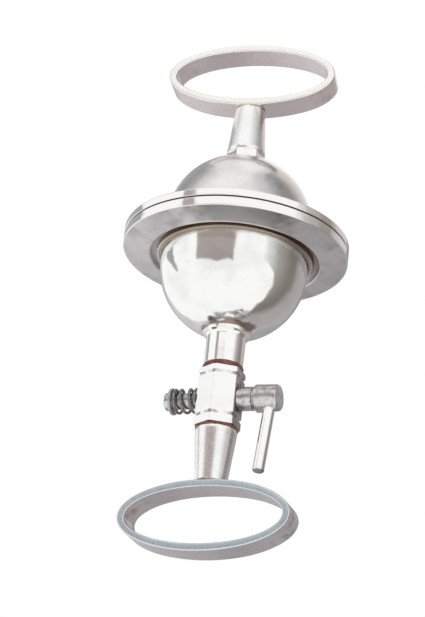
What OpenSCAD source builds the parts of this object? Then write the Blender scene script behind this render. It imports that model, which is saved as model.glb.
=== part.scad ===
// Magdeburg hemispheres with handle loops and a stopcock.
// The two flanged bowls meet on a thin seal. The main axis is Z, the stopcock's plug lies along X,
// and Z = 0 is the sealing face of the lower flange. Millimetres.

/* [Hemispheres] */
// Outside diameter of both flanges
flange_d = 124; // [116:1:140]
// Thickness of the upper flange at its rim
upper_rim_t = 4; // [3:0.5:6]
// Thickness of the lower flange at its rim
lower_rim_t = 5; // [4:0.5:7]
// How much thicker a flange is beside its groove than at its rim
flange_rise = 2.9; // [1:0.1:4]
// Outside diameter of a bowl
bowl_d = 81; // [76:0.5:84]
// Wall thickness of a bowl
bowl_wall = 3; // [2.5:0.1:4]
// Length of the straight part of a bowl before its dome starts
bowl_straight = 12.5; // [10:0.5:16]
// Width of the land between a bowl and the groove around it
land_w = 2.8; // [2.4:0.1:3.4]
// Width of the groove in the back of a flange
groove_w = 3.2; // [2:0.1:4]
// Depth of the groove in the back of a flange
groove_depth = 3.4; // [2:0.1:4]
// Thickness of the seal between the flanges
seal_t = 0.8; // [0.5:0.1:1.5]
// Width of the seal
seal_w = 17; // [12:0.5:19]

/* [Handle loops] */
// Length of a loop outside
loop_length = 95.8; // [90:0.2:110]
// Height of a loop outside
loop_height = 39.6; // [36:0.2:44]
// Width of the strip that a loop is bent from
strip_w = 16.9; // [14:0.1:18]
// Thickness of the strip
strip_t = 4.2; // [3:0.1:5]
// How far the upper hemisphere is twisted from the lower one
upper_turn = 9; // [0:1:90]

/* [Upper stem] */
// Height of the hexagonal collar above the top of the bowl
collar_h = 4.7; // [4:0.1:9]
// Width of the collar across its flats
collar_af = 18.8; // [17:0.1:20]
// Turn of the collar about the main axis
collar_turn = 13; // [0:1:30]
// Diameter of the stem at its foot
stem_foot_d = 21.7; // [20:0.1:23]
// Length of the stem
stem_length = 28.5; // [22:0.1:32]
// Diameter of the stud that holds the stem to the bowl
stud_d = 8; // [7:0.5:9]

/* [Neck] */
// Length of the neck below the bowl
neck_length = 17.9; // [16.5:0.1:20]
// Diameter of the neck at its top
neck_top_d = 22.3; // [21:0.1:23]
// Diameter of the neck at its bottom
neck_bottom_d = 20.9; // [20:0.1:21.5]
// Diameter of the thin ring at the top of the neck
neck_ring_d = 25.8; // [23.5:0.1:27]
// Thickness of the fibre washer under the neck
neck_washer_t = 3.1; // [2.5:0.1:4.5]
// Diameter of the fibre washer under the neck
neck_washer_d = 22.6; // [22:0.1:24]

/* [Stopcock] */
// Width of the hexagonal body across its flats
body_af = 22; // [21:0.5:24]
// Length of the hexagonal body
body_length = 32.5; // [31:0.1:38]
// Depth of the plug's axis below the top of the body
plug_drop = 16.3; // [15:0.1:18]
// Diameter of the threaded spigots at both ends of the body
spigot_d = 12; // [11:0.1:12.4]
// Length of each spigot
spigot_length = 13.5; // [12:0.1:14]
// Diameter of the air passage
air_bore_d = 5; // [3:0.5:5.5]
// Diameter of the plug's taper on the lever's side
taper_big_d = 11.8; // [11.4:0.1:12]
// Diameter of the plug's taper on the spring's side
taper_small_d = 9.2; // [9:0.1:9.6]
// Turn of the plug from the position where its hole lines up with the main axis
plug_turn = 5.5; // [0:0.5:90]

/* [Lever] */
// Diameter of the boss between the body and the lever's head
boss_d = 13; // [12.4:0.1:14]
// Length of the boss
boss_length = 8.2; // [6:0.1:9]
// Diameter of the lever's head where it is thickest
head_d = 15.3; // [14.5:0.1:16]
// Length of the lever's head
head_length = 13.2; // [12.5:0.1:16]
// Diameter of the lever's rod
rod_d = 6.3; // [5:0.1:7]
// Reach of the rod from the plug's axis to its tip
rod_reach = 43.2; // [34:0.1:44.5]
// How far the rod stands from the middle of the head toward its outer end
rod_offset = 1.7; // [0:0.1:2]
// Lean of the rod toward the body
rod_lean = 2.5; // [0:0.1:4]

/* [Spring end] */
// Diameter of the plug's stub that carries the spring
stub_d = 8.8; // [8:0.1:9]
// Length of the stub beyond the body
stub_length = 16.3; // [14:0.1:18]
// Wire diameter of the spring
wire_d = 1.6; // [1.2:0.1:1.8]
// Mean diameter of the spring's curls
curl_d = 12.5; // [11.8:0.1:12.8]
// Number of curls of the spring
curls = 3.5; // [3:0.5:4]
// Thickness of the spring's washer
spring_washer_t = 1.4; // [1:0.1:2]
// Diameter of the spring's washer
spring_washer_d = 14.6; // [14:0.1:15.4]
// Diameter of the screw's head
screw_head_d = 9.8; // [9.4:0.1:11]
// Height of the screw's head
screw_head_h = 3.3; // [2.5:0.1:4]

/* [Lower handle] */
// Thickness of the washer above the lower stem
handle_washer_t = 1.6; // [1:0.1:2.5]
// Diameter of the washer above the lower stem
handle_washer_d = 23.3; // [22.5:0.1:25]
// Diameter of the lower stem at its top
cone_top_d = 22.7; // [22:0.1:24]
// Length of the lower stem
cone_length = 29.7; // [27:0.1:36]

/* [Hidden] */
$fn = 96;

// clearances
running_gap = 0.05;
seat_gap = 0.02;
thread_gap = 0.08;
boss_gap = 0.2;
free_gap = 0.3;

// bowls and flanges
flange_r = flange_d / 2;
bowl_r = bowl_d / 2;
bowl_in_r = bowl_r - bowl_wall;
dome_steps = 32;
groove_in_r = bowl_r + land_w;
groove_out_r = groove_in_r + groove_w;
rim_edge = 0.4;
lip_edge = 0.7;
land_crown = 0.6;
land_arc = 150;
land_steps = 10;
bowl_depth = bowl_straight + bowl_r;
stud_hole_r = stud_d / 2 + seat_gap;
neck_spigot_r = 7;
neck_hole_r = neck_spigot_r + seat_gap;

// heights above the sealing face
upper_top_z = seal_t + bowl_depth;
stem_foot_z = upper_top_z + collar_h;
stem_top_z = stem_foot_z + stem_length;
upper_loop_z = stem_top_z + loop_height / 2;
lower_bottom_z = -bowl_depth;
neck_bottom_z = lower_bottom_z - neck_length;
body_top_z = neck_bottom_z - neck_washer_t;
body_bottom_z = body_top_z - body_length;
plug_z = body_top_z - plug_drop;
cone_top_z = body_bottom_z - handle_washer_t;
cone_bottom_z = cone_top_z - cone_length;
lower_loop_z = cone_bottom_z - loop_height / 2;

// upper stem
stem_top_d = strip_w;
stud_head_d = 15;
stud_head_t = 3;
stud_reach = 15;
bowl_seat_r = sqrt(pow(bowl_in_r, 2) - pow(stud_head_d / 2, 2));
stud_bottom_z = seal_t + bowl_straight + bowl_seat_r - stud_head_t;

// neck
neck_ring_low_z = lower_bottom_z + 0.3;
neck_ring_slope = 0.7;
neck_ring_buried = 3;
neck_socket_d = spigot_d + 2 * thread_gap;
neck_socket_spare = 0.6;
neck_socket_depth = spigot_length - neck_washer_t + neck_socket_spare;
neck_inner_end_z = -(bowl_straight + sqrt(pow(bowl_in_r, 2) - pow(neck_spigot_r, 2)));

// stopcock body
half_body = body_af / 2;
top_groove_inset = 3.7;
bottom_groove_inset = 5.7;
corner_groove_w = 1.2;
corner_groove_r = half_body + 0.1;
corner_groove_reach = 3;
groove_wall_r = 32;
spigot_chamfer = 0.8;

// plug, all along X from the main axis
boss_start = half_body + boss_gap;
boss_end = boss_start + boss_length;
neck_groove_w = 1.2;
head_start = boss_end + neck_groove_w;
head_end = head_start + head_length;
head_end_d = head_d - 1;
head_round = 1;
rod_x = head_start + head_length / 2 + rod_offset;
stub_end = half_body + stub_length;
rod_tip = 0.8;
rod_seat = 3;
taper_slope = (taper_big_d - taper_small_d) / 2 / body_af;
screw_shank_d = 5;
screw_shank_length = 10;
slot_w = 1.3;
slot_depth = 1.6;

// spring, a swept tube that closes up at both ends
rings_per_curl = 8;
wire_sides = 6;
spring_start = half_body + free_gap + wire_d / 2;
spring_end = stub_end - spring_washer_t - 2 * seat_gap - wire_d / 2;
spring_rings = rings_per_curl * curls;
end_share = 0.55;
spring_phase = 144;

// screw thread of the lower handle
socket_d = spigot_d + 2 * thread_gap;
socket_spare = 1;
socket_depth = spigot_length - handle_washer_t + socket_spare;

// points on an arc about (cx, cy), from angle a0 to angle a1
function arc(cx, cy, r, a0, a1, steps) = [
    for (i = [0 : steps])
        let (a = a0 + (a1 - a0) * i / steps)
        [cx + r * cos(a), cy + r * sin(a)]
];

// outline of a straight wall that ends in a dome, from the mouth to the radius of the hole in the dome
function dome_line(r, hole_r) = concat(
    [[r, 0]],
    arc(0, bowl_straight, r, 0, acos(hole_r / r), dome_steps)
);

function reversed(list) = [for (i = [len(list) - 1 : -1 : 0]) list[i]];

// a turned flange whose back rises toward a round groove beside the bowl
module flange_ring(rim_t) {
    back = rim_t + flange_rise;
    land_r = land_w / 2;
    rotate_extrude()
        polygon(concat(
            [
                [bowl_r + seat_gap, 0],
                [flange_r - rim_edge, 0],
                [flange_r, rim_edge],
                [flange_r, rim_t - rim_edge],
                [flange_r - rim_edge, rim_t],
                [groove_out_r + lip_edge, back],
                [groove_out_r, back - lip_edge],
                [groove_out_r, back - groove_depth],
                [groove_in_r, back - groove_depth]
            ],
            arc(bowl_r + land_r, back + land_crown - land_r, land_r, 0, land_arc, land_steps),
            [[bowl_r + seat_gap, back + land_crown - land_r]]
        ));
}

// a bowl that opens at Z = 0 and ends in a dome with a round hole
module bowl_shell(hole_r) {
    rotate_extrude()
        polygon(concat(
            dome_line(bowl_r, hole_r),
            reversed(dome_line(bowl_in_r, hole_r))
        ));
}

// the space that a bowl fills inside the given radius
module dome_solid(r) {
    rotate_extrude()
        polygon(concat([[0, 0]], dome_line(r, 0)));
}

// an oval of the strip's outside or inside, standing in the XZ plane
module oval_block(inset, width) {
    rotate([90, 0, 0])
        linear_extrude(height = width, center = true)
            scale([1, (loop_height - 2 * inset) / (loop_length - 2 * inset)])
                circle(d = loop_length - 2 * inset);
}

module handle_loop() {
    difference() {
        oval_block(0, strip_w);
        oval_block(strip_t, strip_w + 2);
    }
}

module on_lower() {
    mirror([0, 0, 1])
        children();
}

module on_upper() {
    rotate([0, 0, upper_turn])
        children();
}

// turned shapes about the plug's axis, with X as their length
module along_x() {
    translate([0, 0, plug_z])
        rotate([0, 90, 0])
            children();
}

module as_plug_turned() {
    translate([0, 0, plug_z])
        rotate([-plug_turn, 0, 0])
            translate([0, 0, -plug_z])
                children();
}

module upper_handle_loop() {
    color("gainsboro")
        on_upper()
            translate([0, 0, upper_loop_z])
                handle_loop();
}

// tapered stem whose top follows the loop and whose foot holds the stud
module upper_stem() {
    color("silver")
        on_upper()
            difference() {
                translate([0, 0, stem_foot_z])
                    cylinder(d1 = stem_foot_d, d2 = stem_top_d, h = stem_length + 1);
                translate([0, 0, upper_loop_z])
                    oval_block(-seat_gap, strip_w + 4);
                translate([0, 0, stem_foot_z - 1])
                    cylinder(d = stud_d + 2 * thread_gap, h = stud_reach + 1.5);
            }
}

module stem_collar() {
    color("silver")
        on_upper()
            difference() {
                translate([0, 0, upper_top_z - 3])
                    rotate([0, 0, collar_turn])
                        cylinder(d = collar_af / cos(30), h = collar_h + 3, $fn = 6);
                translate([0, 0, seal_t])
                    dome_solid(bowl_r + seat_gap);
                translate([0, 0, upper_top_z - 4])
                    cylinder(r = stud_hole_r, h = collar_h + 5);
            }
}

// stud with a round head that closes the hole from inside the bowl
module stem_stud() {
    color("dimgray") {
        intersection() {
            translate([0, 0, stud_bottom_z])
                cylinder(d = stud_head_d, h = stud_head_t + 2);
            translate([0, 0, seal_t])
                dome_solid(bowl_in_r - seat_gap);
        }
        translate([0, 0, stud_bottom_z + 1])
            cylinder(d = stud_d, h = stem_foot_z + stud_reach - stud_bottom_z - 1);
    }
}

module upper_bowl() {
    color("silver")
        translate([0, 0, seal_t])
            bowl_shell(stud_hole_r);
}

module upper_flange() {
    color("gainsboro")
        translate([0, 0, seal_t])
            flange_ring(upper_rim_t);
}

module seal_ring() {
    color("black")
        rotate_extrude()
            translate([flange_r - 0.5 - seal_w, 0])
                square([seal_w, seal_t]);
}

module lower_flange() {
    color("gainsboro")
        on_lower()
            flange_ring(lower_rim_t);
}

module lower_bowl() {
    color("lightgray")
        on_lower()
            bowl_shell(neck_hole_r);
}

// neck that is brazed into the bowl, with a thin ring against the dome and a threaded socket below
module neck() {
    color("silver")
        difference() {
            rotate_extrude()
                polygon([
                    [air_bore_d / 2, neck_inner_end_z],
                    [neck_spigot_r, neck_inner_end_z],
                    [neck_spigot_r, neck_ring_low_z + neck_ring_buried],
                    [neck_ring_d / 2, neck_ring_low_z + neck_ring_buried],
                    [neck_ring_d / 2, neck_ring_low_z],
                    [neck_top_d / 2, neck_ring_low_z - neck_ring_slope],
                    [neck_bottom_d / 2, neck_bottom_z],
                    [neck_socket_d / 2, neck_bottom_z],
                    [neck_socket_d / 2, neck_bottom_z + neck_socket_depth],
                    [air_bore_d / 2, neck_bottom_z + neck_socket_depth]
                ]);
            difference() {
                on_lower()
                    dome_solid(bowl_r + seat_gap);
                translate([0, 0, lower_bottom_z - 5])
                    cylinder(r = neck_spigot_r, h = bowl_depth);
            }
        }
}

module ring_washer(d, bore, t) {
    difference() {
        cylinder(d = d, h = t);
        translate([0, 0, -1])
            cylinder(d = bore, h = t + 2);
    }
}

module neck_washer() {
    color("sienna")
        translate([0, 0, body_top_z])
            ring_washer(neck_washer_d, spigot_d + 2 * thread_gap, neck_washer_t);
}

// shallow groove that shows only near the corners of the hexagon, between two large round walls
module corner_groove(z) {
    drop = sqrt(pow(groove_wall_r, 2) - pow(corner_groove_r, 2));
    translate([0, 0, z])
        difference() {
            cylinder(r = corner_groove_r + corner_groove_reach, h = 2 * corner_groove_w, center = true);
            for (side = [-1, 1])
                translate([0, 0, side * drop])
                    sphere(r = groove_wall_r);
        }
}

// turned spindle that runs through the hexagon and ends in the two spigots
module spindle() {
    low_z = body_bottom_z - spigot_length;
    high_z = body_top_z + spigot_length;
    rotate_extrude()
        polygon([
            [0, low_z],
            [spigot_d / 2 - spigot_chamfer, low_z],
            [spigot_d / 2, low_z + spigot_chamfer],
            [spigot_d / 2, high_z - spigot_chamfer],
            [spigot_d / 2 - spigot_chamfer, high_z],
            [0, high_z]
        ]);
}

module stopcock_body() {
    color("gainsboro")
        difference() {
            union() {
                translate([0, 0, body_bottom_z])
                    rotate([0, 0, 30])
                        cylinder(d = body_af / cos(30), h = body_length, $fn = 6);
                spindle();
            }
            along_x()
                translate([0, 0, -half_body - 1])
                    cylinder(
                        d1 = taper_small_d - 2 * taper_slope + 2 * running_gap,
                        d2 = taper_big_d + 2 * taper_slope + 2 * running_gap,
                        h = body_af + 2
                    );
            translate([0, 0, body_bottom_z - spigot_length - 1])
                cylinder(d = air_bore_d, h = body_length + 2 * spigot_length + 2);
            corner_groove(body_top_z - top_groove_inset);
            corner_groove(body_bottom_z + bottom_groove_inset);
        }
}

// tapered plug with its air hole, a boss, the lever's head and the stub for the spring
module plug() {
    color("darkgray")
        as_plug_turned()
            difference() {
                along_x()
                    rotate_extrude()
                        polygon([
                            [0, -stub_end],
                            [stub_d / 2 - 0.4, -stub_end],
                            [stub_d / 2, -stub_end + 0.4],
                            [stub_d / 2, -half_body],
                            [taper_small_d / 2, -half_body],
                            [taper_big_d / 2, half_body],
                            [taper_big_d / 2, boss_start],
                            [boss_d / 2, boss_start],
                            [boss_d / 2, boss_end],
                            [boss_d / 2 - 1, boss_end],
                            [boss_d / 2 - 1, head_start],
                            [head_d / 2 - 0.5, head_start],
                            [head_d / 2, head_start + 0.5],
                            [head_end_d / 2, head_end - head_round],
                            [head_end_d / 2 - head_round, head_end],
                            [0, head_end]
                        ]);
                translate([0, 0, plug_z - taper_big_d])
                    cylinder(d = air_bore_d, h = 2 * taper_big_d);
                as_rod()
                    translate([0, 0, -head_d])
                        cylinder(d = rod_d + 2 * seat_gap, h = head_d + rod_seat);
                along_x()
                    translate([0, 0, -stub_end - 1])
                        cylinder(d = screw_shank_d + 2 * thread_gap, h = screw_shank_length + 2);
            }
}

// the rod's own place: it hangs from the head and leans a little toward the body
module as_rod() {
    translate([rod_x, 0, plug_z])
        rotate([0, rod_lean, 0])
            children();
}

module lever_rod() {
    color("silver")
        as_plug_turned()
            as_rod() {
                translate([0, 0, -rod_reach + rod_tip])
                    cylinder(d = rod_d, h = rod_reach - rod_tip + rod_seat - seat_gap);
                translate([0, 0, -rod_reach])
                    cylinder(d1 = rod_d - 2 * rod_tip, d2 = rod_d, h = rod_tip);
            }
}

// distance along the spring at a share of its curls, slower at both ends where it closes up
function spring_x(share) =
    spring_start + (spring_end - spring_start)
    * (share - (1 - end_share) * sin(360 * share) / 360 * 180 / PI);

function curl_point(share) = [
    -spring_x(share),
    curl_d / 2 * cos(spring_phase + 360 * curls * share),
    -curl_d / 2 * sin(spring_phase + 360 * curls * share)
];

function unit(v) = v / norm(v);

// one ring of points around the wire, square to the way that the wire runs
function wire_ring(share) =
    let (
        here = curl_point(share),
        ahead = curl_point(share + 0.001),
        along = unit(ahead - here),
        outward = unit([0, here[1], here[2]]),
        side = unit(cross(along, outward)),
        true_out = cross(side, along)
    )
    [
        for (k = [0 : wire_sides - 1])
            let (a = 360 * k / wire_sides)
            here + wire_d / 2 * (cos(a) * true_out + sin(a) * side)
    ];

function spring_points() = [
    for (i = [0 : spring_rings])
        each wire_ring(i / spring_rings)
];

function tube_faces(rings, sides) = concat(
    [[for (k = [0 : sides - 1]) sides - 1 - k]],
    [
        for (i = [0 : rings - 1], k = [0 : sides - 1])
            each
                let (
                    a = i * sides + k,
                    b = i * sides + (k + 1) % sides,
                    c = b + sides,
                    d = a + sides
                )
                [[a, b, c], [a, c, d]]
    ],
    [[for (k = [0 : sides - 1]) rings * sides + k]]
);

// least distance between two places on the spring's centre line that lie half a curl or more apart
function least_gap() = min([
    for (i = [0 : spring_rings])
        for (j = [i + rings_per_curl / 2 : spring_rings])
            norm(curl_point(i / spring_rings) - curl_point(j / spring_rings))
]) - wire_d;

module plug_spring() {
    echo(least_gap_between_curls = least_gap());
    color("dimgray")
        as_plug_turned()
            translate([0, 0, plug_z])
                polyhedron(
                    points = spring_points(),
                    faces = tube_faces(spring_rings, wire_sides),
                    convexity = 10
                );
}

module spring_washer() {
    color("dimgray")
        as_plug_turned()
            along_x()
                translate([0, 0, -stub_end + seat_gap])
                    ring_washer(spring_washer_d, stub_d + 2 * running_gap, spring_washer_t);
}

module plug_screw() {
    edge = 0.5;
    color("silver")
        as_plug_turned()
            difference() {
                along_x()
                    rotate_extrude()
                        polygon([
                            [0, -stub_end - screw_head_h],
                            [screw_head_d / 2 - edge, -stub_end - screw_head_h],
                            [screw_head_d / 2, -stub_end - screw_head_h + edge],
                            [screw_head_d / 2, -stub_end],
                            [screw_shank_d / 2, -stub_end],
                            [screw_shank_d / 2, -stub_end + screw_shank_length],
                            [0, -stub_end + screw_shank_length]
                        ]);
                translate([-stub_end - screw_head_h - 1, -screw_head_d, plug_z - slot_w / 2])
                    cube([slot_depth + 1, 2 * screw_head_d, slot_w]);
            }
}

module handle_washer() {
    color("sienna")
        translate([0, 0, cone_top_z])
            ring_washer(handle_washer_d, socket_d, handle_washer_t);
}

// cone with a threaded socket that screws onto the body's lower spigot
module lower_stem() {
    color("gainsboro")
        difference() {
            translate([0, 0, cone_bottom_z - 1])
                cylinder(d1 = strip_w, d2 = cone_top_d, h = cone_length + 1);
            translate([0, 0, lower_loop_z])
                oval_block(-seat_gap, strip_w + 4);
            translate([0, 0, cone_top_z - socket_depth])
                cylinder(d = socket_d, h = socket_depth + 1);
        }
}

module lower_handle_loop() {
    color("lightslategray")
        translate([0, 0, lower_loop_z])
            handle_loop();
}

upper_handle_loop();
upper_stem();
stem_collar();
stem_stud();
upper_bowl();
upper_flange();
seal_ring();
lower_flange();
lower_bowl();
neck();
neck_washer();
stopcock_body();
plug();
lever_rod();
plug_spring();
spring_washer();
plug_screw();
handle_washer();
lower_stem();
lower_handle_loop();
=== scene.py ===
"""Looks of a pair of Magdeburg hemispheres: two flanged nickel-plated bowls on a thin seal,
oval handle loops at both ends, and a stopcock with a spring-held plug and a lever."""
import math

import bpy
import numpy as np
from mathutils import Matrix, Vector, noise

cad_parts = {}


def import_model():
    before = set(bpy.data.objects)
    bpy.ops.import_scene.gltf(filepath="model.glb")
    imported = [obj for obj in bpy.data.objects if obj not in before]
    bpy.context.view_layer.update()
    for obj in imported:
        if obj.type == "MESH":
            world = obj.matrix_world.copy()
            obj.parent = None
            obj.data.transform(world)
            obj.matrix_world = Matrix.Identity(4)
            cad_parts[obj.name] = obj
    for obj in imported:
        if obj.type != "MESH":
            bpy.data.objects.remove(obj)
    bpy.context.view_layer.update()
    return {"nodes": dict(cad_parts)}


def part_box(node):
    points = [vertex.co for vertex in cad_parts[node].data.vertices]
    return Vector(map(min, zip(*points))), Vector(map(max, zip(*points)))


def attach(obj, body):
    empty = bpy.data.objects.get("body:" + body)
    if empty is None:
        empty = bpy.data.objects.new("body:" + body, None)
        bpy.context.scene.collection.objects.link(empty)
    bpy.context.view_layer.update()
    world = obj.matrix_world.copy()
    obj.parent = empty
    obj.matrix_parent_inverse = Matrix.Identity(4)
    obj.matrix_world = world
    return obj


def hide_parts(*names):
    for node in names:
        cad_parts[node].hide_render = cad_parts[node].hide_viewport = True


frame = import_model()

MM = 0.001
TURN_SEGMENTS = 192


# Sizes in millimetres and angles in radians, read from the frame or written once

def span(node):
    """Lowest and highest corner of a CAD node in millimetres."""
    low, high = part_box(node)
    return low / MM, high / MM


FLANGE_R = span("lower_flange")[1].x
UPPER_RIM = 4.0
LOWER_RIM = 5.0
FLANGE_RISE = 2.9
SEAL_T = span("seal_ring")[1].z
SEAL_W = 17.0
SEAL_INSET = 0.5
BOWL_R = span("lower_bowl")[1].x
BOWL_WALL = 3.0
BOWL_STRAIGHT = 12.5
UPPER_HOLE_R = 4.02
LOWER_HOLE_R = 7.02
FILLET_H = 7.0
FILLET_LEAN = math.radians(8)
LAND_W = 2.8
LAND_CROWN = 0.6
GROOVE_W = 3.2
GROOVE_DEPTH = 3.4
GROOVE_R = BOWL_R + LAND_W
LIP_R = GROOVE_R + GROOVE_W

LOOP_LOW, LOOP_HIGH = span("lower_handle_loop")
LOOP_A = (LOOP_HIGH.x - LOOP_LOW.x) / 2
LOOP_B = (LOOP_HIGH.z - LOOP_LOW.z) / 2
STRIP_W = LOOP_HIGH.y - LOOP_LOW.y
STRIP_T = 4.2
STRIP_CORNER = 0.9
STRIP_WEAR = 0.22
UPPER_TURN = math.radians(9)
UPPER_LOOP_Z = span("upper_handle_loop")[1].z - LOOP_B
LOWER_LOOP_Z = LOOP_LOW.z + LOOP_B

STEM_FOOT_Z = span("upper_stem")[0].z
STEM_FOOT_R = 10.85
STEM_TOP_R = STRIP_W / 2
STEM_CHAMFER = 0.35
COLLAR_FLATS = 18.8
COLLAR_TURN = math.radians(13) + UPPER_TURN
COLLAR_LOW_Z = STEM_FOOT_Z - 6.5
COLLAR_CHAMFER = 0.4

NECK_LOW_Z = span("neck")[0].z
NECK_TOP_Z = span("neck")[1].z
NECK_TOP_R = 11.15
NECK_WAIST_R = 10.6
NECK_BOTTOM_R = 10.45
NECK_PASSAGE_R = 2.5
NECK_INSERT_R = 7
NECK_RING_R = 12.9
NECK_RING_Z = -52.7
NECK_RING_H = 2.6
NECK_WASHER_R = 11.3
SOCKET_R = 6.1
SOCKET_DEPTH = 11
SPIGOT_R = 6
SPIGOT_LENGTH = 13.5
SPIGOT_INSET = 1
THREAD_PITCH = 1.5
THREAD_DEPTH = 0.75
BODY_TOP_Z = span("neck_washer")[0].z
BODY_FLATS = 22.0
BODY_CORNER = 0.35
BODY_CHAMFER = 0.45
HANDLE_WASHER_LOW, HANDLE_WASHER_HIGH = span("handle_washer")
BODY_BOTTOM_Z = HANDLE_WASHER_HIGH.z
CONE_TOP_Z = HANDLE_WASHER_LOW.z
CONE_TOP_R = 11.35
CORNER_GROOVE_R = BODY_FLATS / 2 + 0.1
TOP_GROOVE_Z = BODY_TOP_Z - 3.7
BOTTOM_GROOVE_Z = BODY_BOTTOM_Z + 5.7
UNCUT = 99.0

PLUG_Z = BODY_TOP_Z - 16.3
PLUG_TURN = math.radians(5.5)
BOSS_START = BODY_FLATS / 2 + 0.2
BOSS_END = BOSS_START + 8.2
BOSS_R = 6.5
BOSS_NECK_R = 5.5
HEAD_START = BOSS_END + 1.2
HEAD_END = HEAD_START + 13.2
HEAD_START_R = 7.65
HEAD_END_R = 7.15
TAPER_LARGE_R = 5.9
TAPER_SMALL_R = 4.6
STUB_R = 4.4
STUB_END = BODY_FLATS / 2 + 16.3
ROD_X = (HEAD_START + HEAD_END) / 2 + 1.7
ROD_R = 3.15
ROD_REACH = 43.2
ROD_SUNK = 2
ROD_LEAN = math.radians(2.5)
SPRING_R = 6.25
WIRE_R = 0.8
CURLS = 3.5
CLOSED_UP = 0.45
SPRING_PHASE = math.radians(144)
SPRING_WASHER_R = 7.3
SPRING_WASHER_BORE = 4.45
SPRING_WASHER_T = 1.4
SCREW_HEAD_H = 3.3
SCREW_HEAD_R = 4.9
SCREW_R = 2.5
SCREW_LENGTH = 9
SLOT_DEPTH = 1.6
SLOT_W = 1.3


# Mesh helpers. Outlines are lists of (radius, height, rounding) in millimetres

def rounded(outline, closed, steps=4):
    """The outline's points with each corner that has a rounding replaced by an arc."""
    points = []
    count = len(outline)
    for i, (r, h, rounding) in enumerate(outline):
        here = np.array((r, h), float)
        at_end = not closed and i in (0, count - 1)
        if rounding <= 0 or at_end:
            points.append(here)
            continue
        before = np.array(outline[i - 1][:2], float) - here
        after = np.array(outline[(i + 1) % count][:2], float) - here
        len_before, len_after = np.linalg.norm(before), np.linalg.norm(after)
        before /= len_before
        after /= len_after
        half = math.acos(max(-1.0, min(1.0, float(before @ after)))) / 2
        reach = min(rounding / math.tan(half), 0.48 * len_before, 0.48 * len_after)
        radius = reach * math.tan(half)
        centre = here + (before + after) / np.linalg.norm(before + after) * radius / math.sin(half)
        start = here + before * reach - centre
        end = here + after * reach - centre
        a0 = math.atan2(start[1], start[0])
        a1 = math.atan2(end[1], end[0])
        turn = (a1 - a0 + math.pi) % (2 * math.pi) - math.pi
        for k in range(steps + 1):
            a = a0 + turn * k / steps
            points.append(centre + radius * np.array((math.cos(a), math.sin(a))))
    return points


def arc(cr, ch, radius, start, end, steps):
    """Points without rounding on an arc about (cr, ch), angles in degrees."""
    angles = [math.radians(start + (end - start) * k / steps) for k in range(steps + 1)]
    return [(cr + radius * math.cos(a), ch + radius * math.sin(a), 0) for a in angles]


def add_object(name, data):
    holder = bpy.data.objects.new(name, data)
    bpy.context.scene.collection.objects.link(holder)
    return holder


def new_piece(name, verts, faces, body, nodes, material, sharp=40):
    """Makes a piece from points in millimetres, shades it and ties it to its body and CAD node.

    A negative volume shows that the faces point inwards, so they are turned round."""
    mesh = bpy.data.meshes.new(name)
    mesh.from_pydata([Vector(v) * MM for v in verts], [], faces)
    mesh.validate()
    if sum(face.area * face.normal.dot(face.center) for face in mesh.polygons) < 0:
        mesh.flip_normals()
    mesh.polygons.foreach_set("use_smooth", [True] * len(mesh.polygons))
    mesh.set_sharp_from_angle(angle=math.radians(sharp))
    mesh.materials.append(material)
    piece = add_object(name, mesh)
    even = piece.modifiers.new("even_shading", "WEIGHTED_NORMAL")
    even.keep_sharp = True
    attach(piece, body)
    if nodes:
        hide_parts(*nodes)
    return piece


def swung(x, y, angle):
    """The point x, y turned about the origin."""
    c, s = math.cos(angle), math.sin(angle)
    return x * c - y * s, x * s + y * c


def to_z(r, h, a):
    """A point turned about the main axis: h runs along Z."""
    return (r * math.cos(a), r * math.sin(a), h)


def to_plug(r, h, a):
    """A point turned about the plug's axis: h runs along X."""
    return (h, r * math.cos(a), PLUG_Z + r * math.sin(a))


def tilted(point):
    """The plug's small turn from the position where its air hole is in line."""
    x, y, z = point
    y, rise = swung(y, z - PLUG_Z, -PLUG_TURN)
    return (x, y, PLUG_Z + rise)


def ring_faces(rings, count, closed=False):
    """Faces between rings of count points each. closed joins the last ring to the first."""
    faces = []
    for i in range(rings if closed else rings - 1):
        low, high = i * count, (i + 1) % rings * count
        for k in range(count):
            n = (k + 1) % count
            faces.append((low + k, low + n, high + n, high + k))
    return faces


def end_faces(rings, count):
    """A face over the first ring and one over the last."""
    last = (rings - 1) * count
    return [tuple(reversed(range(count))), tuple(range(last, last + count))]


def lathe(outline, closed, place, segments, shift):
    """Points and faces of a turned shape. A point at radius 0 closes the shape with a fan.

    place makes a point of a radius, a height and an angle, and shift, if any, moves a point off the axis."""
    verts, rings = [], []
    for r, h in outline:
        if r < 1e-6:
            rings.append([len(verts)])
            verts.append(place(0, h, 0))
            continue
        rings.append(list(range(len(verts), len(verts) + segments)))
        for k in range(segments):
            a = 2 * math.pi * k / segments
            verts.append(place(r, h, a) if shift is None else shift(place(r, h, a)))
    pairs = list(zip(rings, rings[1:]))
    if closed:
        pairs.append((rings[-1], rings[0]))
    faces = []
    for low, high in pairs:
        for k in range(segments):
            n = (k + 1) % segments
            if len(low) == 1 and len(high) == 1:
                continue
            if len(low) == 1:
                faces.append((low[0], high[n], high[k]))
            elif len(high) == 1:
                faces.append((low[k], low[n], high[0]))
            else:
                faces.append((low[k], low[n], high[n], high[k]))
    return verts, faces


def turned(name, outline, closed, body, nodes, material, place=to_z, shift=None,
           segments=TURN_SEGMENTS):
    """A turned piece from its outline, which is closed or ends on the axis."""
    verts, faces = lathe(rounded(outline, closed), closed, place, segments, shift)
    return new_piece(name, verts, faces, body, nodes, material)


def uneven(point, size, amount):
    """Moves a point by smooth noise with waves of the given size, the same each run.

    noise_vector isn't used, because it gives other values in each run."""
    p = Vector(point)
    starts = (Vector((0, 0, 0)), Vector((31.4, 0, 0)), Vector((0, 57.9, 0)))
    return p + Vector([noise.noise(p / size + start) for start in starts]) * amount


# Material helpers

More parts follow.
